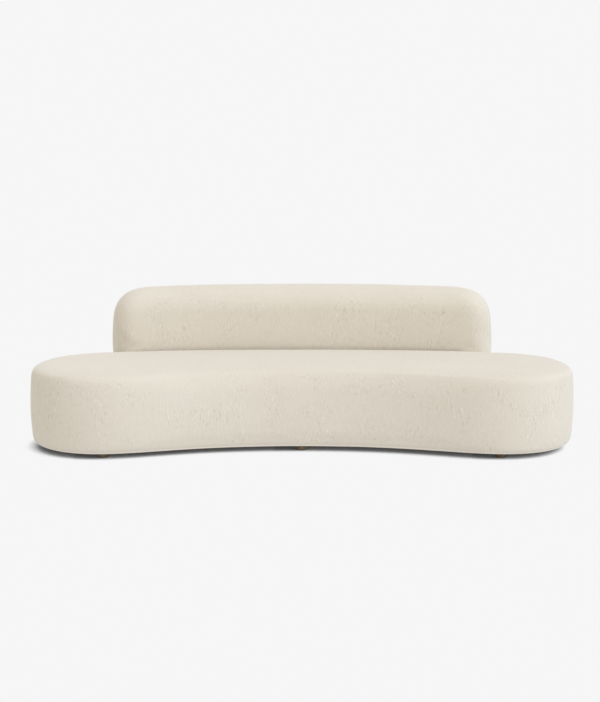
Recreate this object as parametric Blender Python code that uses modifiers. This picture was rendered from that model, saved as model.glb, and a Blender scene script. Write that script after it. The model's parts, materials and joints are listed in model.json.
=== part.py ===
"""Kidney-shaped sofa: an upholstered seat with a curved bolster back bolted behind it, on six turned feet.

Metres, +Z up. The origin is on the floor at the centre of the footprint. The front faces -Y, and X=0 is the
plane of symmetry.
"""

import math

import bmesh
import bpy
import numpy as np
from mathutils import Vector

# Seat outline: the right half, anticlockwise from the middle of the front to the middle of the rear.
HALF_WIDTH = 1.350
LOBE_FRONT = (0.995, -0.539)
FRONT_CENTRE_Y = -0.363
WIDEST_Y = -0.200
REAR_CENTRE_Y = 0.303
FRONT_PULL = 0.561
LOBE_INNER_PULL = 0.262
LOBE_OUTER_PULL = 0.222
SIDE_FRONT_PULL = 0.152
SIDE_REAR_PULL = 0.377
REAR_PULL = 1.045

# Heights.
GLIDE_THICKNESS = 0.003
FOOT_TOP = 0.0279
LINING_BOTTOM = 0.0282
LINING_THICKNESS = 0.001
COVER_BOTTOM = 0.0295
COVER_THICKNESS = 0.0014
PANEL_BOTTOM = 0.0318
PANEL_THICKNESS = 0.018
RAIL_BOTTOM = 0.282
STRAP_THICKNESS = 0.002
SIDE_PAD_TOP = 0.3027
SEAT_TOP = 0.410
BACK_TOP = 0.740

# Upholstery.
GAP = 0.0003
FOAM_INSET = 0.0026
TOP_RADIUS = 0.040
BOTTOM_RADIUS = 0.030
BULGE = 0.007
SIDE_PAD_THICKNESS = 0.025
BOARD_THICKNESS = 0.005
LIP_WIDTH = 0.070

# Stations along the outline: steps in each of its six curves, and what a joint takes off a stretch's end.
OUTLINE_STEPS = 10
PAD_JOINT = 0.002
BOARD_JOINT = 0.001

# Back bolster: its plan follows the rear of the seat.
BACK_CLEARANCE = 0.003
BACK_THICKNESS = 0.233
BACK_HALF_LENGTH = 0.970
BACK_CROWN = 0.014
END_DROP_LENGTH = 0.224
END_DROP_HEIGHT = 0.215
END_ROUNDNESS = 2.57
TOP_ROUND_HEIGHT = 0.110
TOP_ROUNDNESS = 2.2
PLAN_END_LENGTH = 0.116
PLAN_ROUNDNESS = 2.6
BACK_SIDE_STEPS = 6
BACK_END_STEPS = 4
BACK_LIP_SLOT = 0.012

# Timber frame.
POST_SIDE = 0.045
POST_CLEARANCE = 0.001
CROSS_RAIL_HEIGHT = 0.060
CROSS_RAIL_X = 0.45
RAIL_WIDTH = 0.077
UPRIGHT_TOP = 0.600
SILL_WIDTH = 0.100
STRAP_WIDTH = 0.060
STRAP_X = (0.16, 0.72, 1.02)

# Feet and fasteners.
FOOT_TOP_RADIUS = 0.036
FOOT_BOTTOM_RADIUS = 0.0275
GLIDE_RADIUS = 0.022
STEM_RADIUS = 0.004
BARREL_RADIUS = 0.0052
FLANGE_RADIUS = 0.010
FRONT_FEET = ((-0.973, -0.449), (0.0, -0.2855), (0.973, -0.449))
REAR_FOOT_X = 0.72
BOLT_RADIUS = 0.004
BOLT_HEAD_RADIUS = 0.0075
BOLT_HEIGHTS = (0.115, 0.205)
BOLT_BITE = 0.036

BOUCLE = ((0.73, 0.68, 0.59), 0.95, 0.0)
FOAM = ((0.86, 0.80, 0.55), 0.9, 0.0)
PLYWOOD = ((0.58, 0.42, 0.26), 0.7, 0.0)
PINE = ((0.66, 0.49, 0.30), 0.7, 0.0)
STAINED_BEECH = ((0.13, 0.075, 0.04), 0.45, 0.0)
FELT = ((0.12, 0.11, 0.10), 1.0, 0.0)
LINING_CLOTH = ((0.02, 0.02, 0.02), 0.95, 0.0)
WEBBING = ((0.08, 0.08, 0.09), 0.85, 0.0)
ZINC = ((0.62, 0.62, 0.60), 0.35, 1.0)


def clear_scene():
    for obj in list(bpy.data.objects):
        bpy.data.objects.remove(obj, do_unlink=True)


def new_collection(name):
    collection = bpy.data.collections.new(name)
    bpy.context.scene.collection.children.link(collection)
    return collection


def material(name, look):
    colour, roughness, metallic = look
    mat = bpy.data.materials.new(name)
    mat.use_nodes = True
    shader = mat.node_tree.nodes["Principled BSDF"]
    shader.inputs["Base Color"].default_value = (*colour, 1.0)
    shader.inputs["Roughness"].default_value = roughness
    shader.inputs["Metallic"].default_value = metallic
    return mat


def add(name, mesh, look, smooth=False):
    """Links a mesh as one named part of the sofa, with a material of its own."""
    obj = bpy.data.objects.new(name, mesh)
    SOFA.objects.link(obj)
    mesh.materials.clear()
    mesh.materials.append(material(name, look))
    if smooth:
        mesh.shade_smooth()
        mesh.set_sharp_from_angle(angle=math.radians(35))
    return obj


def bezier(points, t):
    """Point and direction of a cubic Bezier curve at t."""
    a, b, c, d = points
    s = 1 - t
    place = a * s**3 + b * (3 * s * s * t) + c * (3 * s * t * t) + d * t**3
    heading = (b - a) * (s * s) + (c - b) * (2 * s * t) + (d - c) * (t * t)
    return place, heading


def seat_curves():
    front = Vector((0, FRONT_CENTRE_Y))
    lobe = Vector(LOBE_FRONT)
    side = Vector((HALF_WIDTH, WIDEST_Y))
    rear = Vector((0, REAR_CENTRE_Y))
    right = Vector((1, 0))
    back = Vector((0, 1))
    return (
        (front, front + right * FRONT_PULL, lobe - right * LOBE_INNER_PULL, lobe),
        (lobe, lobe + right * LOBE_OUTER_PULL, side - back * SIDE_FRONT_PULL, side),
        (side, side + back * SIDE_REAR_PULL, rear + right * REAR_PULL, rear),
    )


def seat_edge(u):
    """Point and outward normal of the seat's outline. u runs anticlockwise from 0 at the front to 6."""
    u %= 6
    mirrored = u > 3
    v = 6 - u if mirrored else u
    part = min(int(v), 2)
    place, heading = bezier(SEAT_CURVES[part], v - part)
    normal = Vector((heading.y, -heading.x)).normalized()
    if mirrored:
        return Vector((-place.x, place.y)), Vector((-normal.x, normal.y))
    return place, normal


def stretch(first, last, joint=0.0):
    """Stations along the seat's outline from one step to another, shortened by a joint at each end."""
    stations = [i / OUTLINE_STEPS for i in range(first, last + 1)]
    stations[0] += joint
    stations[-1] -= joint
    return stations


def seat_ring(inset, z, stations=None):
    """Points of the seat's outline moved inwards, all round or at the given stations."""
    ring = []
    for u in stations or stretch(0, 6 * OUTLINE_STEPS - 1):
        place, normal = seat_edge(u)
        ring.append(Vector((*(place - normal * inset), z)))
    return ring


def rear_path():
    """Distances from the middle of the seat's rear edge, with the points and normals there."""
    samples = [seat_edge(3 - i / 200) for i in range(200)]
    places = np.array([place for place, _ in samples])
    normals = np.array([normal for _, normal in samples])
    steps = np.linalg.norm(np.diff(places, axis=0), axis=1)
    return np.concatenate(([0.0], np.cumsum(steps))), places, normals


def back_point(along, across, z):
    """A point of the back: along its length from the middle, across its thickness from the seat's edge."""
    distances, places, normals = REAR_PATH
    side = 1 if along >= 0 else -1
    x = np.interp(abs(along), distances, places[:, 0])
    y = np.interp(abs(along), distances, places[:, 1])
    normal = Vector([np.interp(abs(along), distances, normals[:, k]) for k in (0, 1)]).normalized()
    return Vector((side * (x + normal.x * across), y + normal.y * across, z))


def fall(share, power):
    """How far a superelliptic corner has turned in, from 0 to 1, at this share of its height."""
    share = min(max(share, 0.0), 1.0)
    return 1 - (1 - share**power) ** (1 / power)


def bar_outline(half_length, half_thickness):
    """A bar with superelliptic ends as (along, across) pairs, anticlockwise from the middle of one end."""
    straight = half_length - PLAN_END_LENGTH
    quarter = []
    for i in range(BACK_END_STEPS + 1):
        angle = math.pi / 2 * i / BACK_END_STEPS
        end = PLAN_END_LENGTH * abs(math.cos(angle)) ** (2 / PLAN_ROUNDNESS)
        across = half_thickness * math.sin(angle) ** (2 / PLAN_ROUNDNESS)
        quarter.append((straight + end, across))
    quarter += [(straight * (1 - i / BACK_SIDE_STEPS), half_thickness) for i in range(1, BACK_SIDE_STEPS + 1)]
    half = quarter + [(-along, across) for along, across in quarter[-2::-1]]
    return half + [(along, -across) for along, across in half[-2:0:-1]]


def back_ring(z, inset, shift=0.0):
    """The bolster's plan at one height: a curved bar with rounded ends that closes in towards the top."""
    half_length = BACK_HALF_LENGTH - inset
    half_length -= END_DROP_LENGTH * fall((z - BACK_TOP + END_DROP_HEIGHT) / END_DROP_HEIGHT, END_ROUNDNESS)
    half_thickness = BACK_THICKNESS / 2
    half_thickness *= 1 - 0.98 * fall((z - BACK_TOP + TOP_ROUND_HEIGHT) / TOP_ROUND_HEIGHT, TOP_ROUNDNESS)
    half_thickness -= min(inset, half_thickness * 0.9)
    ring = []
    for along, across in bar_outline(half_length, half_thickness):
        crown = BACK_CROWN * (along / BACK_HALF_LENGTH) ** 2 * z / BACK_TOP
        ring.append(back_point(along, BACK_CLEARANCE + BACK_THICKNESS / 2 + across, z - crown + shift))
    return ring


def back_rings(skin):
    """Rings up the bolster, all moved inwards by the same skin."""
    heights = rounded_heights(COVER_BOTTOM, 3, 4, 7, BACK_TOP, BOTTOM_RADIUS, END_DROP_HEIGHT)
    rings = []
    for z in heights:
        low = (COVER_BOTTOM + BOTTOM_RADIUS - z) / BOTTOM_RADIUS
        shift = skin if z < BACK_TOP / 2 else -skin
        rings.append(back_ring(z, skin + BOTTOM_RADIUS * fall(low, 2), shift))
    return rings


def loft(name, rings, look, open_below=False, thickness=0.0):
    """Skins a stack of rings of equal count. With a thickness, the skin is a shell that grows inwards."""
    bm = bmesh.new()
    rows = [[bm.verts.new(point) for point in ring] for ring in rings]
    count = len(rows[0])
    for low, high in zip(rows, rows[1:]):
        for i in range(count):
            j = (i + 1) % count
            bm.faces.new((low[i], low[j], high[j], high[i]))
    if not open_below:
        bm.faces.new(rows[0])
    bm.faces.new(rows[-1])
    bmesh.ops.recalc_face_normals(bm, faces=bm.faces)
    mesh = bpy.data.meshes.new(name)
    bm.to_mesh(mesh)
    bm.free()
    obj = add(name, mesh, look, smooth=True)
    if thickness:
        shell = obj.modifiers.new("Shell", "SOLIDIFY")
        shell.thickness = thickness
        shell.offset = -1
        shell.use_even_offset = True
    return obj


def strip(name, look, stations, section):
    """A piece along a stretch of the seat's outline. section lists (inset, z) round its cross-section."""
    rings = []
    for u in stations:
        place, normal = seat_edge(u)
        rings.append([Vector((*(place - normal * inset), z)) for inset, z in section])
    return loft(name, rings, look)


def plate(name, outline, bottom, thickness, look):
    """A flat sheet with the given outline, from a filled 2D curve."""
    curve = bpy.data.curves.new(name, "CURVE")
    curve.dimensions = "2D"
    curve.fill_mode = "BOTH"
    curve.extrude = thickness / 2
    spline = curve.splines.new("POLY")
    spline.points.add(len(outline) - 1)
    for point, corner in zip(spline.points, outline):
        point.co = (corner[0], corner[1], 0, 1)
    spline.use_cyclic_u = True
    guide = bpy.data.objects.new(name + "_outline", curve)
    SOFA.objects.link(guide)
    guide.location.z = bottom + thickness / 2
    bpy.context.view_layer.update()
    graph = bpy.context.evaluated_depsgraph_get()
    mesh = bpy.data.meshes.new_from_object(guide.evaluated_get(graph))
    bm = bmesh.new()
    bm.from_mesh(mesh)
    bmesh.ops.remove_doubles(bm, verts=bm.verts, dist=0.00001)
    bmesh.ops.recalc_face_normals(bm, faces=bm.faces)
    bm.to_mesh(mesh)
    bm.free()
    obj = add(name, mesh, look)
    obj.matrix_world = guide.matrix_world
    bpy.data.objects.remove(guide)
    return obj


def box(name, low, high, look):
    bm = bmesh.new()
    bmesh.ops.create_cube(bm, size=1)
    size = Vector(high) - Vector(low)
    bmesh.ops.scale(bm, vec=size, verts=bm.verts)
    mesh = bpy.data.meshes.new(name)
    bm.to_mesh(mesh)
    bm.free()
    obj = add(name, mesh, look)
    obj.location = (Vector(low) + Vector(high)) / 2
    return obj


def turned(name, profile, place, look, steps=16):
    """A turned piece: its profile runs down its outer side, from the axis at the top to the axis below."""
    mesh = bpy.data.meshes.new(name)
    points = [(radius, 0, z) for radius, z in profile]
    mesh.from_pydata(points, [(i, i + 1) for i in range(len(points) - 1)], [])
    obj = add(name, mesh, look, smooth=True)
    obj.location = place
    lathe = obj.modifiers.new("Lathe", "SCREW")
    lathe.steps = steps
    lathe.render_steps = steps
    lathe.use_merge_vertices = True
    lathe.merge_threshold = 0.00001
    return obj


def cylinder_cutter(name, radius, start, end):
    """A round cutter between two points."""
    start = Vector(start)
    end = Vector(end)
    bm = bmesh.new()
    bmesh.ops.create_cone(
        bm, cap_ends=True, segments=16, radius1=radius, radius2=radius, depth=(end - start).length
    )
    mesh = bpy.data.meshes.new(name)
    bm.to_mesh(mesh)
    bm.free()
    obj = bpy.data.objects.new(name, mesh)
    obj.location = (start + end) / 2
    obj.rotation_euler = (end - start).to_track_quat("Z", "Y").to_euler()
    return as_cutter(obj)


def as_cutter(obj):
    for collection in list(obj.users_collection):
        collection.objects.unlink(obj)
    CUTTERS.objects.link(obj)
    obj.hide_render = True
    obj.display_type = "WIRE"
    return obj


def cut(obj, cutters):
    for cutter in cutters:
        hole = obj.modifiers.new("Cut " + cutter.name, "BOOLEAN")
        hole.operation = "DIFFERENCE"
        hole.solver = "EXACT"
        hole.object = cutter


def side_inset(z):
    """How far the seat's upholstered side stands in from its outline at this height."""
    share = (z - COVER_BOTTOM) / (SEAT_TOP - COVER_BOTTOM)
    inset = BULGE * (1 - 4 * share * (1 - share))
    low = (COVER_BOTTOM + BOTTOM_RADIUS - z) / BOTTOM_RADIUS
    high = (z - SEAT_TOP + TOP_RADIUS) / TOP_RADIUS
    return inset + BOTTOM_RADIUS * fall(low, 2) + TOP_RADIUS * fall(high, 2)


def rounded_heights(bottom, low_steps, middle_steps, high_steps, top, low_radius, high_radius):
    """Heights up a side, closer together round its lower and upper edges."""
    low = [bottom + low_radius * (1 - math.cos(math.pi / 2 * i / low_steps)) for i in range(low_steps)]
    rise = top - high_radius - bottom - low_radius
    middle = [bottom + low_radius + rise * i / middle_steps for i in range(middle_steps)]
    high = [top - high_radius * (1 - math.sin(math.pi / 2 * i / high_steps)) for i in range(high_steps + 1)]
    return low + middle + high


def seat_cover():
    heights = rounded_heights(COVER_BOTTOM, 3, 3, 4, SEAT_TOP, BOTTOM_RADIUS, TOP_RADIUS)
    rings = [seat_ring(LIP_WIDTH, COVER_BOTTOM)]
    rings += [seat_ring(side_inset(z), z) for z in heights]
    return loft("seat_cover", rings, BOUCLE, open_below=True, thickness=COVER_THICKNESS)


def seat_pad():
    """The slab of foam under the seat's top. Its upper edge keeps the cover's rounding."""
    top = SEAT_TOP - FOAM_INSET
    heights = [SIDE_PAD_TOP + GAP]
    heights += [top - TOP_RADIUS * (1 - math.sin(math.pi / 2 * i / 4)) for i in range(5)]
    rings = [seat_ring(side_inset(z + FOAM_INSET) + FOAM_INSET, z) for z in heights]
    return loft("seat_foam", rings, FOAM)


def side_pads():
    """Four lengths of foam sheet round the side boards, butted end to end."""
    inner = FOAM_INSET + BULGE + SIDE_PAD_THICKNESS
    corner = COVER_BOTTOM + BOTTOM_RADIUS
    lower = [COVER_BOTTOM + BOTTOM_RADIUS * (1 - math.cos(math.pi / 2 * i / 3)) for i in (1, 2)]
    upper = [corner + (SIDE_PAD_TOP - corner) * i / 3 for i in range(4)]
    section = [(inner - 0.001, PANEL_BOTTOM + 0.0022)]
    section += [(side_inset(z) + FOAM_INSET, z + FOAM_INSET) for z in lower]
    section += [(side_inset(z) + FOAM_INSET, z) for z in upper]
    section += [(inner, SIDE_PAD_TOP), (inner, section[0][1])]
    stretches = (
        ("front_side_foam", -6, 6),
        ("right_side_foam", 6, 24),
        ("rear_side_foam", 24, 36),
        ("left_side_foam", 36, 54),
    )
    return [strip(name, FOAM, stretch(a, b, PAD_JOINT), section) for name, a, b in stretches]


def side_boards():
    outer = FOAM_INSET + SIDE_PAD_THICKNESS + BULGE + GAP
    inner = outer + BOARD_THICKNESS
    low = PANEL_BOTTOM + PANEL_THICKNESS + GAP
    high = RAIL_BOTTOM + PANEL_THICKNESS
    section = ((outer, low), (outer, high), (inner, high), (inner, low))
    strip("front_side_board", PLYWOOD, stretch(-15, 15, BOARD_JOINT), section)
    rear = strip("rear_side_board", PLYWOOD, stretch(15, 45, BOARD_JOINT), section)
    return rear, inner + GAP


def top_rails(inset):
    """Four flat plywood rails that meet end to end inside the top of the side boards."""
    stretches = (
        ("front_rail", -9, 9),
        ("right_end_rail", 9, 23),
        ("rear_rail", 23, 37),
        ("left_end_rail", 37, 51),
    )
    for name, first, last in stretches:
        stations = stretch(first, last, BOARD_JOINT)
        outline = seat_ring(inset, 0, stations) + seat_ring(inset + RAIL_WIDTH, 0, stations)[::-1]
        plate(name, outline, RAIL_BOTTOM, PANEL_THICKNESS, PLYWOOD)


def edge_y(x, front, inset):
    """The Y of the seat's outline, moved inwards, at this X."""
    low, high = (0.0, 1.0) if front else (3.0, 2.0)
    for _ in range(40):
        u = (low + high) / 2
        place, normal = seat_edge(u)
        if abs((place - normal * inset).x) < abs(x):
            low = u
        else:
            high = u
    return (place - normal * inset).y


def cross_frame(inset):
    """Two cross rails between front and rear posts. Returns the rear posts and where their rear faces are."""
    floor = PANEL_BOTTOM + PANEL_THICKNESS + GAP
    ceiling = RAIL_BOTTOM - GAP
    half = POST_SIDE / 2
    ends = (CROSS_RAIL_X - half, CROSS_RAIL_X + half)
    front_y = max(edge_y(x, True, inset) for x in ends) + POST_CLEARANCE
    rear_y = min(edge_y(x, False, inset) for x in ends) - POST_CLEARANCE
    posts = []
    for side, x in (("left", -CROSS_RAIL_X), ("right", CROSS_RAIL_X)):
        box(
            side + "_front_post",
            (x - half, front_y, floor),
            (x + half, front_y + POST_SIDE, ceiling),
            PINE,
        )
        posts.append(
            box(
                side + "_rear_post",
                (x - half, rear_y - POST_SIDE, floor),
                (x + half, rear_y, ceiling),
                PINE,
            )
        )
        box(
            side + "_cross_rail",
            (x - half, front_y + POST_SIDE + GAP, ceiling - CROSS_RAIL_HEIGHT),
            (x + half, rear_y - POST_SIDE - GAP, ceiling),
            PINE,
        )
    return posts, rear_y


def straps(inset):
    """Elastic webbing, stretched from front to rear over the rails."""
    bottom = RAIL_BOTTOM + PANEL_THICKNESS + GAP
    half = STRAP_WIDTH / 2
    for side, sign in (("left", -1), ("right", 1)):
        for number, x in enumerate(STRAP_X, 1):
            front_y = max(edge_y(x - half, True, inset), edge_y(x + half, True, inset))
            if x > LOBE_FRONT[0] - half:
                front_y = LOBE_FRONT[1] + inset + 0.006
            rear_y = min(edge_y(x - half, False, inset), edge_y(x + half, False, inset))
            box(
                f"{side}_webbing_{number}",
                (sign * x - half, front_y, bottom),
                (sign * x + half, rear_y, bottom + STRAP_THICKNESS),
                WEBBING,
            )


def back_cover():
    lip = back_ring(COVER_BOTTOM, BACK_THICKNESS / 2 - BACK_LIP_SLOT)
    return loft("back_cover", [lip, *back_rings(0.0)], BOUCLE, open_below=True, thickness=COVER_THICKNESS)


def back_foam():
    return loft("back_foam", back_rings(FOAM_INSET), FOAM)


def curved_plate(name, half_length, width, bottom, thickness, look):
    """A flat plate that follows the middle of the back."""
    middle = BACK_CLEARANCE + BACK_THICKNESS / 2
    along = [half_length * (i / 9 - 1) for i in range(19)]
    outer = [back_point(s, middle - width / 2, 0) for s in along]
    inner = [back_point(s, middle + width / 2, 0) for s in reversed(along)]
    return plate(name, outer + inner, bottom, thickness, look)


def back_frame():
    """Sill, head rail and two uprights, all in a slot in the foam."""
    sill = curved_plate("back_sill", 0.84, SILL_WIDTH, PANEL_BOTTOM, PANEL_THICKNESS, PLYWOOD)
    curved_plate("back_head_rail", 0.76, POST_SIDE, UPRIGHT_TOP + GAP, PANEL_THICKNESS, PLYWOOD)
    low = PANEL_BOTTOM + PANEL_THICKNESS + GAP
    half = POST_SIDE / 2
    centre = back_point(CROSS_RAIL_X - 0.006, BACK_CLEARANCE + BACK_THICKNESS / 2, 0)
    uprights = [
        box(
            side + "_back_upright",
            (sign * CROSS_RAIL_X - half, centre.y - half, low),
            (sign * CROSS_RAIL_X + half, centre.y + half, UPRIGHT_TOP),
            PINE,
        )
        for side, sign in (("left", -1), ("right", 1))
    ]
    slot_top = UPRIGHT_TOP + PANEL_THICKNESS + 2 * GAP
    wide = curved_plate(
        "sill_recess", 0.84 + GAP, SILL_WIDTH + 2 * GAP, 0, PANEL_BOTTOM + PANEL_THICKNESS + GAP, FOAM
    )
    narrow = curved_plate("frame_slot", 0.78, POST_SIDE + 0.008, 0, slot_top, FOAM)
    return sill, uprights, centre.y - half, [as_cutter(wide), as_cutter(narrow)]


def bolts(post_rear, upright_front):
    """Four bolts through the rear posts into the uprights, with the holes that they need."""
    holes = []
    head_y = post_rear - POST_SIDE - GAP
    tip_y = upright_front + BOLT_BITE
    for side, x in (("left", -CROSS_RAIL_X), ("right", CROSS_RAIL_X)):
        for level, z in zip(("lower", "upper"), BOLT_HEIGHTS):
            name = f"{side}_{level}_bolt"
            length = tip_y - head_y
            profile = (
                (0, 0.005),
                (BOLT_HEAD_RADIUS, 0.005),
                (BOLT_HEAD_RADIUS, 0),
                (BOLT_RADIUS, 0),
                (BOLT_RADIUS, -length),
                (0, -length),
            )
            bolt = turned(name, profile, (x, head_y, z), ZINC, steps=8)
            bolt.rotation_euler.x = math.pi / 2
            holes.append(
                cylinder_cutter(
                    name + "_hole",
                    BOLT_RADIUS + 0.0005,
                    (x, head_y - 0.001, z),
                    (x, tip_y + 0.004, z),
                )
            )
    return holes


def feet():
    """Turned feet with threaded stems, felt glides and the tee nuts that they screw into."""
    rear = [back_point(x, BACK_CLEARANCE + BACK_THICKNESS / 2, 0) for x in (-REAR_FOOT_X, 0, REAR_FOOT_X)]
    names = ("front_left", "front_middle", "front_right", "rear_left", "rear_middle", "rear_right")
    places = [Vector((*place, 0)) for place in FRONT_FEET] + rear
    panel_top = PANEL_BOTTOM + PANEL_THICKNESS
    stem_low = GLIDE_THICKNESS + 2 * GAP + 0.006
    bottom = GLIDE_THICKNESS + GAP
    cutters = []
    for name, place in zip(names, places):
        turned(
            name + "_glide",
            ((0, GLIDE_THICKNESS), (GLIDE_RADIUS, GLIDE_THICKNESS), (GLIDE_RADIUS, 0), (0, 0)),
            place,
            FELT,
        )
        socket = STEM_RADIUS + GAP
        turned(
            name + "_foot",
            (
                (0, stem_low - GAP),
                (socket, stem_low - GAP),
                (socket, FOOT_TOP),
                (FOOT_TOP_RADIUS - 0.0015, FOOT_TOP),
                (FOOT_TOP_RADIUS, FOOT_TOP - 0.002),
                (FOOT_BOTTOM_RADIUS, bottom + 0.002),
                (FOOT_BOTTOM_RADIUS - 0.002, bottom),
                (0, bottom),
            ),
            place,
            STAINED_BEECH,
        )
        turned(
            name + "_stem",
            (
                (0, panel_top + 0.004),
                (STEM_RADIUS, panel_top + 0.003),
                (STEM_RADIUS, stem_low),
                (0, stem_low),
            ),
            place,
            ZINC,
            steps=8,
        )
        turned(
            name + "_tee_nut",
            (
                (STEM_RADIUS + GAP, panel_top + 0.0018),
                (FLANGE_RADIUS, panel_top + 0.0018),
                (FLANGE_RADIUS, panel_top + GAP),
                (BARREL_RADIUS, panel_top + GAP),
                (BARREL_RADIUS, panel_top - 0.010),
                (STEM_RADIUS + GAP, panel_top - 0.010),
                (STEM_RADIUS + GAP, panel_top + 0.0018),
            ),
            place,
            ZINC,
            steps=8,
        )
        below = place + Vector((0, 0, 0.01))
        above = place + Vector((0, 0, panel_top + 0.01))
        cutters.append(cylinder_cutter(name + "_hole", BARREL_RADIUS + 0.0004, below, above))
    return cutters


clear_scene()
SOFA = new_collection("Sofa with wooden legs")
CUTTERS = new_collection("Cutters")
SEAT_CURVES = seat_curves()
REAR_PATH = rear_path()

stem_holes = feet()
panel_inset = FOAM_INSET + SIDE_PAD_THICKNESS + BULGE + GAP
base_panel = plate("base_panel", seat_ring(panel_inset, 0), PANEL_BOTTOM, PANEL_THICKNESS, PLYWOOD)
lining = plate("dust_cover", seat_ring(0.048, 0), LINING_BOTTOM, LINING_THICKNESS, LINING_CLOTH)
rear_board, frame_inset = side_boards()
top_rails(frame_inset)
rear_posts, post_rear = cross_frame(frame_inset)
straps(frame_inset + 0.008)
seat_pad()
front_pad, right_pad, rear_pad, left_pad = side_pads()
seat_shell = seat_cover()
back_sill, back_uprights, upright_front, slots = back_frame()
bolster = back_foam()
back_shell = back_cover()
bolt_holes = bolts(post_rear, upright_front)

cut(base_panel, stem_holes[:3])
cut(lining, stem_holes[:3])
cut(back_sill, stem_holes[3:])
cut(bolster, slots)
for pierced in (*rear_posts, rear_board, rear_pad, seat_shell, back_shell, bolster, *back_uprights):
    cut(pierced, bolt_holes)
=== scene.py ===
"""Looks for the kidney-shaped sofa with the curved back: boucle upholstery, turned feet, lining and lights.

Metres, +Z up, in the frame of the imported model. The front faces -Y, and X=0 is the plane of symmetry.
"""

import json
import math

import bmesh
import bpy
import numpy as np
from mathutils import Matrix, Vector, noise


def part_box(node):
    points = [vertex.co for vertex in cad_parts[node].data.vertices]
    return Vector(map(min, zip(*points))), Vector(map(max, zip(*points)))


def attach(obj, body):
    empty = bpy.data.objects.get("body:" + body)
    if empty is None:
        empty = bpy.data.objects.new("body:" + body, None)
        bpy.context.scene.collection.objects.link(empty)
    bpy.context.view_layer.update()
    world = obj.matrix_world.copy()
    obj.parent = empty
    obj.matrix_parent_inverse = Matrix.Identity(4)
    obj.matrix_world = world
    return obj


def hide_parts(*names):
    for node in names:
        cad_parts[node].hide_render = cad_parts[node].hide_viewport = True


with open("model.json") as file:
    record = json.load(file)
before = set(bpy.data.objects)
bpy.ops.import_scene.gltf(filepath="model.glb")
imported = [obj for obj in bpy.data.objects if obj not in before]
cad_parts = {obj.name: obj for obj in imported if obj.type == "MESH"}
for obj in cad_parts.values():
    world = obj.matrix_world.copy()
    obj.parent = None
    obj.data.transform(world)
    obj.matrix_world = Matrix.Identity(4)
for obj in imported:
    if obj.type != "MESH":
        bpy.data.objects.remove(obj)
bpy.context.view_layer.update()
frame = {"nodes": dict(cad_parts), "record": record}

# Seat outline: the right half, anticlockwise from the middle of the front to the middle of the rear.
HALF_WIDTH = 1.350
LOBE_FRONT = (0.995, -0.539)
FRONT_CENTRE_Y = -0.363
WIDEST_Y = -0.200
REAR_CENTRE_Y = 0.303
FRONT_PULL = 0.561
LOBE_INNER_PULL = 0.262
LOBE_OUTER_PULL = 0.222
SIDE_FRONT_PULL = 0.152
SIDE_REAR_PULL = 0.377
REAR_PULL = 1.045

# Heights, from the frame.
COVER_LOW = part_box("seat_cover")[0].z
SEAT_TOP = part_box("seat_cover")[1].z
BACK_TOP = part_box("back_cover")[1].z
LINING_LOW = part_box("dust_cover")[0].z
FOOT_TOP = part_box("front_left_foot")[1].z
GLIDE_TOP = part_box("front_left_glide")[1].z

# Seat upholstery. The rings of the hem are held in the cloth simulation.
CELL = 0.018
BULGE = 0.012
BOTTOM_RADIUS = 0.030
TOP_RADIUS = 0.042
HEM_INSET = 0.070
HEM_DROP = 0.003
HEM_RINGS = 4
REAR_TUCK = 0.011
TUCK_MARGIN = 0.01
TUCK_FADE = 0.10
TOP_BORDER = 0.105
SEAT_CROWN = 0.003
CROWN_FADE = 0.12
SEAM_HALF_WIDTH = 0.004
SEAM_DEPTH = 0.0018
SEAM_ANGLE = math.radians(50)
BAND_SEAM_FROM_REAR = 1.22
END_ROWS = 30

# Back bolster: its plan follows the rear of the seat, and a slot below takes the lining.
BACK_CLEARANCE = 0.003
BACK_THICKNESS = 0.233
BACK_HALF_LENGTH = 0.970
BACK_CROWN = 0.014
END_DROP_LENGTH = 0.224
END_DROP_HEIGHT = 0.215
END_ROUNDNESS = 2.92
TOP_ROUND_HEIGHT = 0.125
TOP_ROUNDNESS = 2.1
PLAN_END_LENGTH = 0.116
PLAN_ROUNDNESS = 2.6
BACK_SIDE_STEPS = 50
BACK_END_STEPS = 9
BACK_HEM_RINGS = 5
BACK_SLOT = 0.012
SLOT_LIP = 0.035
BACK_SEAM_HEIGHT = 0.655

# Cloth simulation: how far the air may push the covers, and how far inside its outline each one starts,
# where a negative slack is outside it.
SWELL_CAP = 0.0055
SEAT_SLACK = -0.004
BACK_SLACK = 0.001
SWELL_FRAMES = 20

# Feet.
FOOT_TOP_RADIUS = 0.036
FOOT_BOTTOM_RADIUS = 0.0275
GLIDE_RADIUS = 0.022
FEET = (
    "front_left",
    "front_middle",
    "front_right",
    "rear_left",
    "rear_middle",
    "rear_right",
)

# Lining under the seat and the back.
LINING_THICKNESS = 0.0007
LINING_GAP = 0.0004
LINING_INSET = 0.048
LINING_SAG = 0.0032
SAG_FADE = 0.12
BACK_LINING_HALF_WIDTH = 0.030
BACK_LINING_HALF_LENGTH = 0.880
BACK_LINING_STEPS = 88

# Boucle: the noise levels at which a light or a dark fleck starts and is full, and a painted highlight that
# lightens the cover's lowest band along the hem, with that band's height.
LIGHT_NEP = (0.63, 0.70)
DARK_NEP = (0.37, 0.30)
HEM_PAINTED_HIGHLIGHT = (1.21, 1.21, 1.22)
HEM_PAINTED_HIGHLIGHT_HEIGHT = 0.011

# Camera.
CAMERA_PLACE = (0.0, -8.894, 1.989)
CAMERA_TARGET = (-0.0099, -0.039, 0.4543)
CAMERA_LENS = 90.98

# Surroundings: a pale grey, times a level that comes in over a range of the direction's X, Y or Z.
SURROUND = 0.9215
LEFT_LEVEL = (0.78, 0.705, 0.59)
LEFT_RANGE = (-0.25, -0.75)
FRONT_LEVEL = (1.155, 1.133, 1.092)
FRONT_RANGE = (-0.05, -0.6)
TOP_LEVEL = (0.965, 0.972, 0.995)
TOP_RANGE = (0.35, 0.9)
HORIZON_RANGE = (0.13, 0.24)

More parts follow.
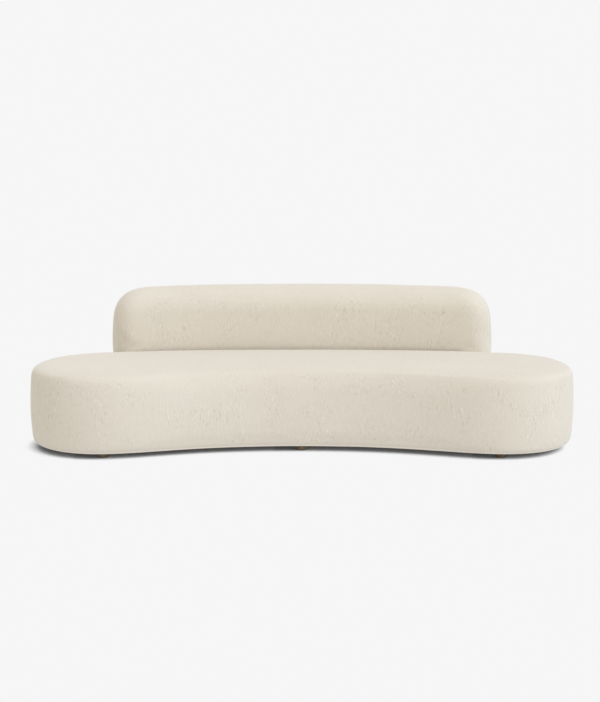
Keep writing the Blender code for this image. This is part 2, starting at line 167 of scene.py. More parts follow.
# Key light.
KEY_DIRECTION = (0.62, -0.38, 0.52)
KEY_ANGLE = math.radians(50)
KEY_STRENGTH = 1.22
KEY_COLOUR = (0.82, 0.91, 1.05)

# Floor: the share of its brightness that lights the sofa, and the contact shadow, which leans from the key.
FLOOR_BOUNCE = 0.86
CONTACT_LEAN = (0.68, -0.43, 1.0)
CONTACT_REACH = 0.118
CONTACT_DARK = (0.048, 0.046, 0.044)
CONTACT_RANGE = (0.27, 0.61)


# ---------------------------------------------------------------- outlines


def bezier(points, t):
    """Points and directions of a cubic Bezier curve at each t."""
    a, b, c, d = (np.array(point, float) for point in points)
    t = t[:, None]
    s = 1 - t
    place = a * s**3 + 3 * b * s * s * t + 3 * c * s * t * t + d * t**3
    heading = (b - a) * s * s + 2 * (c - b) * s * t + (d - c) * t * t
    return place, heading


def seat_curves():
    front = Vector((0, FRONT_CENTRE_Y))
    lobe = Vector(LOBE_FRONT)
    side = Vector((HALF_WIDTH, WIDEST_Y))
    rear = Vector((0, REAR_CENTRE_Y))
    right = Vector((1, 0))
    back = Vector((0, 1))
    return (
        (front, front + right * FRONT_PULL, lobe - right * LOBE_INNER_PULL, lobe),
        (lobe, lobe + right * LOBE_OUTER_PULL, side - back * SIDE_FRONT_PULL, side),
        (side, side + back * SIDE_REAR_PULL, rear + right * REAR_PULL, rear),
    )


def right_half():
    """Closely spaced points and outward normals from the front's middle to the rear's."""
    t = np.arange(400) / 400
    parts = [bezier(curve, t) for curve in seat_curves()]
    places = np.vstack([place for place, _ in parts] + [[(0, REAR_CENTRE_Y)]])
    headings = np.vstack([heading for _, heading in parts] + [[(-1, 0)]])
    normals = np.column_stack((headings[:, 1], -headings[:, 0]))
    return places, normals / np.linalg.norm(normals, axis=1)[:, None]


def running_length(places):
    steps = np.linalg.norm(np.diff(places, axis=0), axis=1)
    return np.concatenate(([0.0], np.cumsum(steps)))


def whole_outline():
    """The seat's outline as distances from the front's middle, points and normals, back to the start."""
    places, normals = right_half()
    mirror = np.array((-1, 1))
    places = np.vstack((places, places[-2::-1] * mirror))
    normals = np.vstack((normals, normals[-2::-1] * mirror))
    return running_length(places), places, normals


def read_off(table, distance):
    """Points and normals of an outline at the given distances."""
    distances, places, normals = table
    place = np.column_stack([np.interp(distance, distances, places[:, k]) for k in (0, 1)])
    normal = np.column_stack([np.interp(distance, distances, normals[:, k]) for k in (0, 1)])
    return place, normal / np.linalg.norm(normal, axis=1)[:, None]


def seat_stations(cell, seams=()):
    """Distances round the seat's outline, evenly spaced, with three close together at each seam."""
    length = OUTLINE[0][-1]
    count = 2 * round(length / cell / 2)
    even = np.arange(count) * length / count
    for seam in seams:
        even = even[abs(even - seam) > cell * 0.75]
    close = [seam + offset for seam in seams for offset in (-SEAM_HALF_WIDTH, 0, SEAM_HALF_WIDTH)]
    return np.sort(np.concatenate((even, close)))


def side_ways(sign_of):
    """-1 or 1 by the sign of each number, with 1 for zero."""
    return np.sign(sign_of + 1e-12)


def fall(share, power):
    """How far a superelliptic corner has turned in, from 0 to 1, at this share of its height."""
    share = min(max(share, 0.0), 1.0)
    return 1 - (1 - share**power) ** (1 / power)


# ---------------------------------------------------------------- meshes


def new_piece(name, points, faces, smooth=True):
    mesh = bpy.data.meshes.new(name)
    mesh.from_pydata([tuple(point) for point in points], [], faces)
    mesh.update()
    if smooth:
        mesh.shade_smooth()
    piece = bpy.data.objects.new(name, mesh)
    bpy.context.scene.collection.objects.link(piece)
    return piece


def finish_piece(piece, look, nodes=()):
    """Gives a piece its material, and its place in the frame."""
    piece.data.materials.clear()
    piece.data.materials.append(look)
    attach(piece, "root")
    if nodes:
        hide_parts(*nodes)
    return piece


def points_of(piece):
    flat = np.empty(len(piece.data.vertices) * 3, np.float32)
    piece.data.vertices.foreach_get("co", flat)
    return flat.reshape(-1, 3).astype(float)


def move_points(piece, points):
    piece.data.vertices.foreach_set("co", points.astype(np.float32).ravel())
    piece.data.update()


def normals_of(piece):
    flat = np.empty(len(piece.data.vertices) * 3, np.float32)
    piece.data.vertex_normals.foreach_get("vector", flat)
    return flat.reshape(-1, 3).astype(float)


def evaluated_mesh(piece):
    bpy.context.view_layer.update()
    graph = bpy.context.evaluated_depsgraph_get()
    return bpy.data.meshes.new_from_object(piece.evaluated_get(graph))


def apply_modifiers(piece):
    mesh = evaluated_mesh(piece)
    piece.modifiers.clear()
    piece.data = mesh


def subdivide(piece):
    """One level of subdivision, applied."""
    levels = piece.modifiers.new("Subdivision", "SUBSURF")
    levels.levels = 1
    levels.render_levels = 1
    apply_modifiers(piece)


def thicken(piece, thickness):
    solid = piece.modifiers.new("Thickness", "SOLIDIFY")
    solid.thickness = thickness
    solid.offset = 0
    apply_modifiers(piece)


def band(first, second, count):
    """Quads between two closed rings of vertices, given the index of each ring's first."""
    following = [(i + 1) % count for i in range(count)]
    return [(first + i, first + j, second + j, second + i) for i, j in enumerate(following)]


def bands(rings, count):
    """Quads between all the rings of a stack, whose vertices come ring by ring."""
    faces = []
    for i in range(rings - 1):
        faces += band(i * count, (i + 1) * count, count)
    return faces


def filled(ring, rows):
    """Fills a closed plan outline with quads. Returns the new inner points and a grid of vertex indices.

    The grid has the given number of rows at each end of the outline, which starts at the front's middle.
    """
    count = len(ring)
    half = (count // 2 - rows) // 2
    columns = 2 * half
    end = count // 2 - columns
    front = [(i - half) % count for i in range(columns + 1)]
    rear = [(count // 2 + half - i) % count for i in range(columns + 1)]
    right = [half + i for i in range(end + 1)]
    left = [(count - half - i) % count for i in range(end + 1)]
    grid = np.full((end + 1, columns + 1), -1)
    grid[0] = front
    grid[-1] = rear
    grid[:, 0] = left
    grid[:, -1] = right
    plan = np.zeros((end + 1, columns + 1, 2))
    edge = grid >= 0
    plan[edge] = ring[grid[edge]][:, :2]
    v, u = np.meshgrid(np.linspace(0, 1, end + 1), np.linspace(0, 1, columns + 1), indexing="ij")
    u = u[..., None]
    v = v[..., None]
    ruled = plan[:1] * (1 - v) + plan[-1:] * v + plan[:, :1] * (1 - u) + plan[:, -1:] * u
    corners = plan[0, 0] * (1 - u) * (1 - v) + plan[0, -1] * u * (1 - v)
    corners = corners + plan[-1, 0] * (1 - u) * v + plan[-1, -1] * u * v
    coons = ruled - corners
    plan[~edge] = coons[~edge]
    for _ in range(60):
        middle = (plan[2:, 1:-1] + plan[:-2, 1:-1] + plan[1:-1, 2:] + plan[1:-1, :-2]) / 4
        plan[1:-1, 1:-1] = middle
    grid[~edge] = count + np.arange((~edge).sum())
    return plan[~edge], grid


def grid_faces(grid, start, ring_start, count):
    """Quads of a filled grid, whose first count indices are ring vertices and the rest inner ones."""
    index = np.where(grid < count, grid + ring_start, grid - count + start)
    rows, columns = index.shape
    return [
        (int(index[i, j]), int(index[i, j + 1]), int(index[i + 1, j + 1]), int(index[i + 1, j]))
        for i in range(rows - 1)
        for j in range(columns - 1)
    ]


def swell(piece, held, cap):
    """Cloth simulation: air swells the cover between the held vertices, and no point moves past the cap."""
    rest = points_of(piece)
    group = piece.vertex_groups.new(name="held")
    group.add([int(i) for i in held], 1.0, "REPLACE")
    cloth = piece.modifiers.new("Cloth", "CLOTH")
    cloth.point_cache.frame_start = 1
    cloth.point_cache.frame_end = SWELL_FRAMES
    settings = cloth.settings
    settings.quality = 5
    settings.mass = 0.3
    settings.tension_stiffness = 15
    settings.compression_stiffness = 15
    settings.shear_stiffness = 8
    settings.bending_stiffness = 1.5
    settings.use_pressure = True
    settings.uniform_pressure_force = 4
    settings.effector_weights.gravity = 0
    settings.vertex_group_mass = "held"
    for step in range(1, SWELL_FRAMES + 1):
        bpy.context.scene.frame_set(step)
    mesh = evaluated_mesh(piece)
    moved = np.empty(len(mesh.vertices) * 3, np.float32)
    mesh.vertices.foreach_get("co", moved)
    bpy.data.meshes.remove(mesh)
    piece.modifiers.clear()
    piece.vertex_groups.clear()
    bpy.context.scene.frame_set(1)
    shift = moved.reshape(-1, 3) - rest
    length = np.linalg.norm(shift, axis=1)
    print(f"{piece.name}: free swell {length.max() * 1000:.1f} mm, mean {length.mean() * 1000:.1f} mm")
    shift *= (cap * np.tanh(length / cap) / np.maximum(length, 1e-9))[:, None]
    move_points(piece, rest + shift)


def unevenness(points, size, seed):
    """A smooth random value from about -1 to 1 at each point, with features of the given size."""
    offset = Vector((seed, seed * 1.7, seed * 0.3))
    return np.array([noise.noise(Vector(point) / size + offset) for point in points])


# ---------------------------------------------------------------- seat


def side_inset(z, slack):
    """How far the seat's side stands in from its outline at this height."""
    share = (z - COVER_LOW) / (SEAT_TOP - COVER_LOW)
    return slack + BULGE * (1 - 4 * share * (1 - share))


def arc_steps(start, end, steps):
    return [start + (end - start) * i / steps for i in range(steps)]


def seat_section(slack):
    """The seat's profile and which point of it is the seam.

    It runs as (inset, z) from the hem below, out, up the side and in over the top edge.
    """
    low = COVER_LOW - HEM_DROP
    high = SEAT_TOP - slack
    base = side_inset(low, slack)
    profile = [(HEM_INSET - i * (HEM_INSET - BOTTOM_RADIUS - base) / 3, low) for i in range(3)]
    profile[0] = (HEM_INSET, COVER_LOW)
    for angle in arc_steps(0, math.pi / 2, 5):
        z = low + BOTTOM_RADIUS * (1 - math.cos(angle))
        profile.append((side_inset(z, slack) + BOTTOM_RADIUS * (1 - math.sin(angle)), z))
    floor = low + BOTTOM_RADIUS
    ceiling = high - TOP_RADIUS
    steps = round((ceiling - floor) / CELL)
    for z in arc_steps(floor, ceiling, steps):
        profile.append((side_inset(z, slack), z))
    spread = SEAM_HALF_WIDTH / TOP_RADIUS
    angles = [0, SEAM_ANGLE * 0.4, SEAM_ANGLE * 0.72]
    angles += [SEAM_ANGLE - spread, SEAM_ANGLE, SEAM_ANGLE + spread]
    angles += [SEAM_ANGLE + (math.pi / 2 - SEAM_ANGLE) * share for share in (0.5, 0.8)]
    for angle in angles:
        z = high - TOP_RADIUS * (1 - math.sin(angle))
        profile.append((side_inset(z, slack) + TOP_RADIUS * (1 - math.cos(angle)), z))
    seam = len(profile) - 4
    edge = side_inset(high, slack) + TOP_RADIUS
    rings = round((TOP_BORDER - edge) / CELL)
    profile += [(edge + (TOP_BORDER - edge) * i / rings, high) for i in range(rings + 1)]
    return profile, seam


def seat_upholstery():
    """The seat's padded cover, closed below, with a seam round its top edge and two up its rear."""
    rear_middle = OUTLINE[0][-1] / 2
    seams = [rear_middle - BAND_SEAM_FROM_REAR, rear_middle + BAND_SEAM_FROM_REAR]
    stations = seat_stations(CELL, seams)
    place, normal = read_off(OUTLINE, stations)
    profile, seam = seat_section(SEAT_SLACK)
    count = len(stations)
    past_back = abs(place[:, 0]) - BACK_HALF_LENGTH - TUCK_MARGIN
    beside_back = 1 - smooth_step(past_back / TUCK_FADE)
    tuck = (REAR_TUCK * beside_back * (place[:, 1] > 0))[:, None]
    rings = []
    for inset, z in profile:
        rings.append(np.column_stack((place - normal * (inset + tuck), np.full(count, z))))
    inner, grid = filled(rings[-1], END_ROWS)
    top = np.column_stack((inner, np.full(len(inner), profile[-1][1])))
    points = np.vstack(rings + [top])
    faces = bands(len(rings), count)
    faces += grid_faces(grid, len(rings) * count, (len(rings) - 1) * count, count)
    gap = distance_inside(points, place)
    crown = SEAT_CROWN * (1 - np.exp(-np.maximum(gap - TOP_RADIUS, 0) / CROWN_FADE))
    points[:, 2] += crown * (points[:, 2] > SEAT_TOP - 0.006)
    piece = new_piece("seat_upholstery", points, faces)
    ring_of = np.minimum(np.arange(len(points)) // count, len(rings))
    held = np.nonzero((ring_of <= HEM_RINGS) | (ring_of == seam))[0]
    swell(piece, held, SWELL_CAP)
    shape_surface(piece, 0.0007, 0.22, 3.0)
    press_seam(piece, np.nonzero(ring_of == seam)[0], SEAM_DEPTH)
    columns = [int(np.argmin(abs(stations - s))) for s in seams]
    upright = [r * count + c for c in columns for r in range(HEM_RINGS, seam)]
    press_seam(piece, upright, SEAM_DEPTH * 0.8)
    subdivide(piece)
    close_below(piece)
    return piece


def smooth_step(x):
    x = np.clip(x, 0, 1)
    return x * x * (3 - 2 * x)


def distance_inside(points, outline):
    """Each point's distance in plan from the nearest point of the outline."""
    found = np.empty(len(points))
    for start in range(0, len(points), 2000):
        some = points[start : start + 2000, None, :2]
        found[start : start + 2000] = np.linalg.norm(some - outline[None], axis=2).min(axis=1)
    return found


def shape_surface(piece, height, size, seed):
    """The slight unevenness of foam under a cover."""
    points = points_of(piece)
    lift = unevenness(points, size, seed) * height
    move_points(piece, points + normals_of(piece) * lift[:, None])


def press_seam(piece, vertices, depth):
    """Sinks a row of vertices, a little more in some places than in others."""
    points = points_of(piece)
    normals = normals_of(piece)
    vertices = np.array(vertices)
    uneven = 1 + 0.3 * unevenness(points[vertices], 0.035, 7.0)
    points[vertices] -= normals[vertices] * (depth * uneven)[:, None]
    move_points(piece, points)


def close_below(piece):
    """Closes the cover's open rim with one flat face."""
    bm = bmesh.new()
    bm.from_mesh(piece.data)
    rim = [edge for edge in bm.edges if edge.is_boundary]
    made = bmesh.ops.edgeloop_fill(bm, edges=rim)
    bmesh.ops.recalc_face_normals(bm, faces=bm.faces)
    for face in made["faces"]:
        face.smooth = False
    bm.to_mesh(piece.data)
    bm.free()


# ---------------------------------------------------------------- back


def rear_table():
    """The rear half of the outline, read from its middle outwards."""
    places, normals = right_half()
    places = places[::-1]
    return running_length(places), places, normals[::-1]


def bar_outline(half_length, half_thickness):
    """A bar with superelliptic ends as (along, across) pairs, anticlockwise from the middle of one end."""
    straight = half_length - PLAN_END_LENGTH
    quarter = []
    for i in range(BACK_END_STEPS + 1):
        angle = math.pi / 2 * i / BACK_END_STEPS
        end = PLAN_END_LENGTH * abs(math.cos(angle)) ** (2 / PLAN_ROUNDNESS)
        across = half_thickness * math.sin(angle) ** (2 / PLAN_ROUNDNESS)
        quarter.append((straight + end, across))
    for i in range(1, BACK_SIDE_STEPS + 1):
        quarter.append((straight * (1 - i / BACK_SIDE_STEPS), half_thickness))
    half = quarter + [(-along, across) for along, across in quarter[-2::-1]]
    return np.array(half + [(along, -across) for along, across in half[-2:0:-1]])


def back_ring(z, inset, slack):
    """The bolster's plan at one height, which closes in towards the top."""
    up_end = (z - BACK_TOP + END_DROP_HEIGHT) / END_DROP_HEIGHT
    up_top = (z - BACK_TOP + TOP_ROUND_HEIGHT) / TOP_ROUND_HEIGHT
    half_length = BACK_HALF_LENGTH - inset - slack
    half_length -= END_DROP_LENGTH * fall(up_end, END_ROUNDNESS)
    half_thickness = BACK_THICKNESS / 2 - inset - slack
    half_thickness *= 1 - 0.98 * fall(up_top, TOP_ROUNDNESS)
    bar = bar_outline(half_length, half_thickness)
    place, normal = read_off(REAR, abs(bar[:, 0]))
    plan = place + normal * (BACK_CLEARANCE + BACK_THICKNESS / 2 + bar[:, 1])[:, None]
    plan[:, 0] *= side_ways(bar[:, 0])
    crown = BACK_CROWN * (bar[:, 0] / BACK_HALF_LENGTH) ** 2 * z / BACK_TOP
    shift = slack if z < BACK_TOP / 2 else -slack
    return np.column_stack((plan, z - crown + shift * 0.5))


def back_heights():
    """Heights up the bolster, closer together round its lower and upper edges and at its seam."""
    low = [COVER_LOW + BOTTOM_RADIUS * (1 - math.cos(a)) for a in arc_steps(0, math.pi / 2, 5)]
    start = COVER_LOW + BOTTOM_RADIUS
    ceiling = BACK_TOP - END_DROP_HEIGHT
    middle = arc_steps(start, ceiling, round((ceiling - start) / CELL))
    high = [ceiling + END_DROP_HEIGHT * math.sin(a) for a in arc_steps(0, math.pi / 2, 20)]
    heights = [z for z in low + middle + high if abs(z - BACK_SEAM_HEIGHT) > CELL * 0.45]
    heights += [BACK_SEAM_HEIGHT + offset for offset in (-SEAM_HALF_WIDTH, 0, SEAM_HALF_WIDTH)]
    return sorted(heights) + [BACK_TOP]


def back_upholstery():
    """The back's padded cover, closed below, with the seam of its rear panel."""
    heights = back_heights()
    slot_inset = BACK_THICKNESS / 2 - BACK_SLOT
    rings = [back_ring(COVER_LOW, slot_inset - out, BACK_SLACK) for out in (0, SLOT_LIP)]
    hem = len(rings)
    for z in heights:
        low = (COVER_LOW + BOTTOM_RADIUS - z) / BOTTOM_RADIUS
        rings.append(back_ring(z, BOTTOM_RADIUS * fall(low, 2), BACK_SLACK))
    count = len(rings[0])
    points = np.vstack(rings)
    faces = bands(len(rings), count)
    last = (len(rings) - 1) * count
    for i in range(count // 2):
        j = count - i
        across = (last + i, last + i + 1, last + (j - 1) % count, last + j % count)
        faces.append(tuple(dict.fromkeys(across)))
    piece = new_piece("back_upholstery", points, faces)
    ring_of = np.arange(len(points)) // count
    seam = hem + heights.index(BACK_SEAM_HEIGHT)
    station = np.arange(len(points)) % count
    corner = BACK_END_STEPS - 2
    corners = (corner, count // 2 - corner)
    rear = (station >= corners[0]) & (station <= corners[1])
    across_top = (ring_of == seam) & rear
    up_corners = (ring_of > BACK_HEM_RINGS) & (ring_of < seam) & np.isin(station, corners)
    on_flat = np.abs(points[:, 0]) < BACK_HALF_LENGTH - PLAN_END_LENGTH
    facing_seat = (points[:, 2] < SEAT_TOP) & ~rear & (station > count // 2) & on_flat
    in_hem = ring_of <= BACK_HEM_RINGS
    held = np.nonzero(in_hem | facing_seat | across_top | up_corners)[0]
    swell(piece, held, SWELL_CAP)
    shape_surface(piece, 0.0009, 0.25, 11.0)
    press_seam(piece, np.nonzero(across_top | up_corners)[0], SEAM_DEPTH)
    subdivide(piece)
    close_below(piece)
    return piece


# ---------------------------------------------------------------- under the sofa


def turned(name, profile, place, steps=64):
    """A turned piece from (radius, z) pairs that run down its outer side, closed at both ends."""
    angles = np.arange(steps) * 2 * math.pi / steps
    circle = np.column_stack((np.cos(angles), np.sin(angles)))
    rings = [np.column_stack((circle * radius, np.full(steps, z))) for radius, z in reversed(profile)]
    faces = bands(len(rings), steps)
    top = (len(rings) - 1) * steps
    faces.append(tuple(range(steps))[::-1])
    faces.append(tuple(range(top, top + steps)))
    piece = new_piece(name, np.vstack(rings) + np.array(place), faces)
    piece.data.set_sharp_from_angle(angle=math.radians(40))
    return piece


def foot_profile():
    """A short turned foot: a rounded upper edge, a fine groove, a taper and a rounded lower edge."""
    low = GLIDE_TOP + 0.0003
    high = FOOT_TOP
    round_edge = 0.0022
    profile = []
    for angle in arc_steps(0, math.pi / 2, 4):
        inset = round_edge * (1 - math.sin(angle))
        profile.append((FOOT_TOP_RADIUS - inset, high - round_edge * (1 - math.cos(angle))))
    groove = high - 0.0055
    for offset, depth in ((0.0009, 0.0), (0.0004, 0.0009), (-0.0004, 0.0009), (-0.0009, 0.0)):
        profile.append((FOOT_TOP_RADIUS - depth, groove + offset))
    taper = groove - 0.0009 - low - round_edge
    for share in arc_steps(0, 1, 6):
        radius = FOOT_TOP_RADIUS + (FOOT_BOTTOM_RADIUS - FOOT_TOP_RADIUS) * share**0.9
        profile.append((radius, low + round_edge + taper * (1 - share)))
    for angle in arc_steps(0, math.pi / 2, 4):
        inset = round_edge * (1 - math.cos(angle))
        profile.append((FOOT_BOTTOM_RADIUS - inset, low + round_edge * (1 - math.sin(angle))))
    profile.append((FOOT_BOTTOM_RADIUS - round_edge, low))
    return profile


def glide_profile():
    edge = 0.0007
    return (
        (GLIDE_RADIUS - edge, GLIDE_TOP),
        (GLIDE_RADIUS, GLIDE_TOP - edge),
        (GLIDE_RADIUS, edge),
        (GLIDE_RADIUS - edge, 0.0),
    )


def foot_centre(name):
    low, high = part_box(name + "_foot")
    return (low.x + high.x) / 2, (low.y + high.y) / 2


def feet(wood, felt):
    for name in FEET:
        place = (*foot_centre(name), 0)
        foot = turned("turned_foot_" + name, foot_profile(), place)
        finish_piece(foot, wood, [name + "_foot"])
        glide = turned("felt_pad_" + name, glide_profile(), place)
        finish_piece(glide, felt, [name + "_glide"])


def lining(look):
    """The black cloth stapled under the seat. It hangs a little between the feet and its stapled edge."""
    stations = seat_stations(0.030)
    place, normal = read_off(OUTLINE, stations)
    count = len(stations)
    middle = LINING_LOW + LINING_GAP
    rings = []
    for extra in (0.0, 0.004, 0.012, 0.030):
        plan = place - normal * (LINING_INSET + extra)
        rings.append(np.column_stack((plan, np.full(count, middle))))
    inner, grid = filled(rings[-1], 18)
    points = np.vstack(rings + [np.column_stack((inner, np.full(len(inner), middle)))])
    faces = bands(len(rings), count)
    faces += grid_faces(grid, len(rings) * count, (len(rings) - 1) * count, count)
    faces = [face[::-1] for face in faces]
    near_edge = distance_inside(points, place) - LINING_INSET
    near_foot = np.full(len(points), 1.0)
    for name in FEET[:3]:
        centre = np.array(foot_centre(name))
        away = np.linalg.norm(points[:, :2] - centre, axis=1) - FOOT_TOP_RADIUS
        near_foot = np.minimum(near_foot, away)
    hang = 1 - np.exp(-np.maximum(np.minimum(near_edge, near_foot), 0) / SAG_FADE)
    ripple = unevenness(points, 0.09, 21.0) * 0.0006 * np.minimum(hang * 3, 1)
    points[:, 2] -= LINING_SAG * hang + ripple
    piece = new_piece("dust_lining", points, faces)
    subdivide(piece)
    thicken(piece, LINING_THICKNESS)
    finish_piece(piece, look, ["dust_cover"])


def back_lining(look):
    """The black strip that covers the slot under the back."""
    columns = BACK_LINING_STEPS + 1
    along = np.linspace(-BACK_LINING_HALF_LENGTH, BACK_LINING_HALF_LENGTH, columns)
    place, normal = read_off(REAR, abs(along))
    middle = BACK_CLEARANCE + BACK_THICKNESS / 2
    rows = []
    for share in (-1, -0.6, -0.2, 0.2, 0.6, 1):
        plan = place + normal * (middle + BACK_LINING_HALF_WIDTH * share)
        plan[:, 0] *= side_ways(along)
        z = LINING_LOW + LINING_GAP + 0.0002 * np.sin(along * 90 + share)
        rows.append(np.column_stack((plan, z)))
    faces = []
    for r in range(len(rows) - 1):
        for i in range(BACK_LINING_STEPS):
            a = r * columns + i
            faces.append((a, a + columns, a + columns + 1, a + 1))
    points = np.vstack(rows)
    piece = new_piece("back_lining", points, faces)
    thicken(piece, LINING_THICKNESS)
    finish_piece(piece, look)


def staples(name, places, headings, z, look):
    """Wire staples, lying along the given headings: each a flat crown with two legs that turn up."""
    crown = 0.005
    wire = 0.00045
    leg = 0.0012
    rise = 0.0003
    bend = crown - 0.0004
    points = []
    faces = []
    path = ((-crown, leg), (-crown, rise), (-bend, 0), (bend, 0), (crown, rise), (crown, leg))
    for place, heading in zip(places, headings):
        side = np.array((-heading[1], heading[0]))
        start = len(points)
        for along, up in path:
            centre = place + heading * along
            for a, b in ((-1, -1), (1, -1), (1, 1), (-1, 1)):
                spread = heading * (wire * b if up > 0 else 0) + side * wire * a
                height = z + up + (0 if up > 0 else wire * b)
                points.append((*(centre + spread), height))
        for r in range(len(path) - 1):
            faces += band(start + 4 * r, start + 4 * (r + 1), 4)
        end = start + 4 * (len(path) - 1)
        faces.append((start + 3, start + 2, start + 1, start))
        faces.append((end, end + 1, end + 2, end + 3))
    piece = new_piece(name, points, faces, smooth=False)
    bm = bmesh.new()
    bm.from_mesh(piece.data)
    bmesh.ops.recalc_face_normals(bm, faces=bm.faces)
    bm.to_mesh(piece.data)
    bm.free()
    return finish_piece(piece, look)


def lining_staples(look):
    stations = seat_stations(0.048)
    place, normal = read_off(OUTLINE, stations)
    heading = np.column_stack((-normal[:, 1], normal[:, 0]))
    height = LINING_LOW - LINING_GAP
    staples("lining_staples", place - normal * 0.055, heading, height, look)
    along = np.arange(-18, 19) * 0.047
    place, normal = read_off(REAR, abs(along))
    heading = np.column_stack((-normal[:, 1], normal[:, 0]))
    places = []
    headings = []
    for side in (-1, 1):
        plan = place + normal * (BACK_CLEARANCE + BACK_THICKNESS / 2 + side * 0.025)
        mirror = np.column_stack((side_ways(along), np.ones(len(along))))
        places.append(plan * mirror)
        headings.append(heading * mirror)
    staples("back_lining_staples", np.vstack(places), np.vstack(headings), height, look)


# ---------------------------------------------------------------- materials


class Look:
    """A node material with its Principled shader, and short ways to add nodes to it."""

    def __init__(self, name):
        self.material = bpy.data.materials.new(name)
        self.material.use_nodes = True
        self.tree = self.material.node_tree
        self.shader = self.tree.nodes["Principled BSDF"]
        self.place = self.add("ShaderNodeTexCoord").outputs["Object"]

    def add(self, kind, **inputs):
        node = self.tree.nodes.new(kind)
        for name, value in inputs.items():
            self.put(node.inputs[name.replace("_", " ")], value)
        return node

    def put(self, socket, value):
        if isinstance(value, bpy.types.NodeSocket):
            self.tree.links.new(value, socket)
        else:
            socket.default_value = value

    def set(self, **inputs):
        for name, value in inputs.items():
            self.put(self.shader.inputs[name.replace("_", " ")], value)

    def stretched(self, scale):
        """Object coordinates with a scale for each axis."""
        node = self.add("ShaderNodeMapping", Scale=scale)
        self.put(node.inputs["Vector"], self.place)
        return node.outputs["Vector"]

    def noise(self, vector, scale=1.0, detail=2.0, roughness=0.5):
        node = self.add("ShaderNodeTexNoise", Vector=vector, Scale=scale, Detail=detail)
        self.put(node.inputs["Roughness"], roughness)
        return node.outputs["Fac"]

    def cells(self, vector, scale, feature="F1"):
        node = self.add("ShaderNodeTexVoronoi", Vector=vector, Scale=scale)
        node.feature = feature
        return node

    def maths(self, operation, first, second=0.5):
        node = self.tree.nodes.new("ShaderNodeMath")
        node.operation = operation
        self.put(node.inputs[0], first)
        self.put(node.inputs[1], second)
        return node.outputs["Value"]

    def weighted(self, parts):
        """The sum of numbers, each times its weight."""
        total = 0.0
        for value, weight in parts:
            node = self.tree.nodes.new("ShaderNodeMath")
            node.operation = "MULTIPLY_ADD"
            self.put(node.inputs[0], value)
            self.put(node.inputs[1], weight)
            self.put(node.inputs[2], total)
            total = node.outputs["Value"]
        return total

    def blend(self, factor, first, second):
        """Mixes two numbers."""
        node = self.tree.nodes.new("ShaderNodeMix")
        node.data_type = "FLOAT"
        self.put(node.inputs["Factor"], factor)
        self.put(node.inputs[2], first)
        self.put(node.inputs[3], second)
        return node.outputs[0]

    def colours(self, factor, first, second, mode="MIX"):
        node = self.tree.nodes.new("ShaderNodeMix")
        node.data_type = "RGBA"
        node.blend_type = mode
        self.put(node.inputs["Factor"], factor)
        self.put(node.inputs[6], first)
        self.put(node.inputs[7], second)
        return node.outputs[2]

    def ramp(self, factor, *stops):
        """A colour ramp with (position, colour) stops."""
        node = self.add("ShaderNodeValToRGB", Fac=factor)
        elements = node.color_ramp.elements
        while len(elements) < len(stops):
            elements.new(0.5)
        for element, (position, colour) in zip(elements, stops):
            element.position = position
            element.color = (*colour, 1.0)
        return node.outputs["Color"]

    def bump(self, height, strength, distance):
        node = self.add("ShaderNodeBump", Strength=strength, Distance=distance, Height=height)
        self.put(self.shader.inputs["Normal"], node.outputs["Normal"])


def grey(value):
    return (value, value, value)


